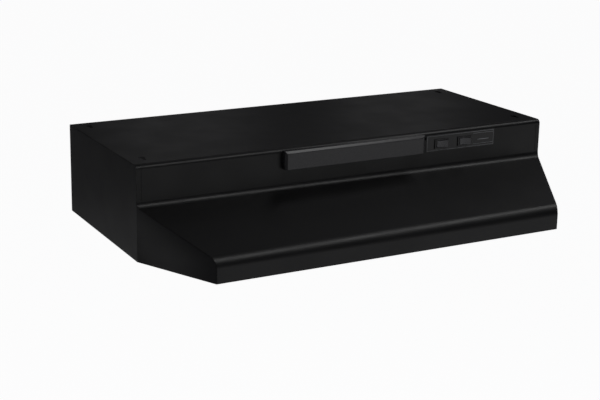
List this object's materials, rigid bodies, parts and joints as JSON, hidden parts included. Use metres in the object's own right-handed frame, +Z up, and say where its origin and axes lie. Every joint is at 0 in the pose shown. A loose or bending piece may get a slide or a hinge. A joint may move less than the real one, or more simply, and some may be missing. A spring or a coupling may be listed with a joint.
{
  "type": "under cabinet range hood",
  "caption": "Short ductless range hood with a sloped visor, front air deflector, rocker switches, axial fan, swing-down filter and lamp lens.",
  "frame": {"origin": "centre of the width and depth, on the plane of the bottom rim", "axes": "+Z up, -Y out of the front visor, +Y to the wall, +X to the right seen from the front"},
  "size_m": [0.762, 0.4444, 0.1524],
  "materials": {
    "painted_steel": "satin gloss black enamel",
    "black_plastic": "semi-gloss moulded",
    "control_film": "satin film",
    "zinc_steel": "galvanised",
    "motor_steel": "oiled laminations",
    "aluminium": "mill",
    "brass": "satin",
    "winding": "varnished winding",
    "fan_plastic": "moulded",
    "charcoal": "fibrous",
    "rubber": "matte",
    "porcelain": "glazed",
    "lamp_glass": "frosted",
    "lens_plastic": "translucent moulded",
    "wire_cover": "extruded sleeve"
  },
  "bodies": {
    "hood": {"air_deflector": "black_plastic", "back_panel": "painted_steel", "bracket_rivet_left": "zinc_steel", "bracket_rivet_right": "zinc_steel", "bulb_base": "brass", "bulb_glass": "lamp_glass", "cable_knockout": "painted_steel", "control_plate": "control_film", "deck_screw_1": "zinc_steel", "deck_screw_2": "zinc_steel", "deck_screw_3": "zinc_steel", "deck_screw_4": "zinc_steel", "fan_deck": "painted_steel", "fan_switch_body": "black_plastic", "filter_clip_left": "zinc_steel", "filter_clip_right": "zinc_steel", "filter_hook_rail": "zinc_steel", "filter_seat": "painted_steel", "front_visor": "painted_steel", "lamp_reflector": "zinc_steel", "lamp_socket": "porcelain", "lamp_wires": "wire_cover", "left_side_panel": "painted_steel", "light_switch_body": "black_plastic", "lower_bearing": "brass", "lower_bearing_bracket": "zinc_steel", "motor_bracket": "zinc_steel", "motor_coil": "winding", "motor_screw_left": "zinc_steel", "motor_screw_right": "zinc_steel", "motor_spacer_left": "zinc_steel", "motor_spacer_right": "zinc_steel", "motor_stator": "motor_steel", "motor_wires": "wire_cover", "plenum_wrap": "zinc_steel", "right_side_panel": "painted_steel", "socket_shell": "brass", "supply_wires": "wire_cover", "top_panel": "painted_steel", "upper_bearing": "brass", "upper_bearing_bracket": "zinc_steel", "wire_grommet_front": "rubber", "wire_grommet_left": "rubber", "wire_grommet_rear": "rubber", "wire_nut_black": "black_plastic", "wire_nut_white": "porcelain", "wiring_box": "zinc_steel", "wiring_box_screw": "zinc_steel"},
    "fan": {"fan_blade": "fan_plastic", "blade_clip": "zinc_steel", "motor_shaft": "zinc_steel", "motor_rotor": "motor_steel"},
    "fan_switch_rocker": {"fan_rocker": "black_plastic"},
    "light_switch_rocker": {"light_rocker": "black_plastic"},
    "filter": {"filter_frame": "aluminium", "filter_mesh": "aluminium", "charcoal_pad": "charcoal", "filter_pull_tab": "aluminium"},
    "lens": {"light_lens": "lens_plastic"}
  },
  "joints": [
    {"name": "fan_spin", "type": "hinge", "parent": "hood", "child": "fan", "pos_m": [0, 0.07125, 0.1], "axis": [0, 0, 1], "continuous": true},
    {"name": "fan_switch_rock", "type": "hinge", "parent": "hood", "child": "fan_switch_rocker", "pos_m": [0.173, -0.07985, 0.1302], "axis": [0, 0, 1], "range_deg": [0, 24]},
    {"name": "light_switch_rock", "type": "hinge", "parent": "hood", "child": "light_switch_rocker", "pos_m": [0.2196, -0.07985, 0.1302], "axis": [0, 0, 1], "range_deg": [0, 24]},
    {"name": "filter_swing", "type": "hinge", "parent": "hood", "child": "filter", "pos_m": [0, 0.18397, 0.0609], "axis": [1, 0, 0], "range_deg": [0, 45]},
    {"name": "lens_swing", "type": "hinge", "parent": "hood", "child": "lens", "pos_m": [0.262, 0.05925, 0.0704], "axis": [1, 0, 0], "range_deg": [0, 75]}
  ]
}
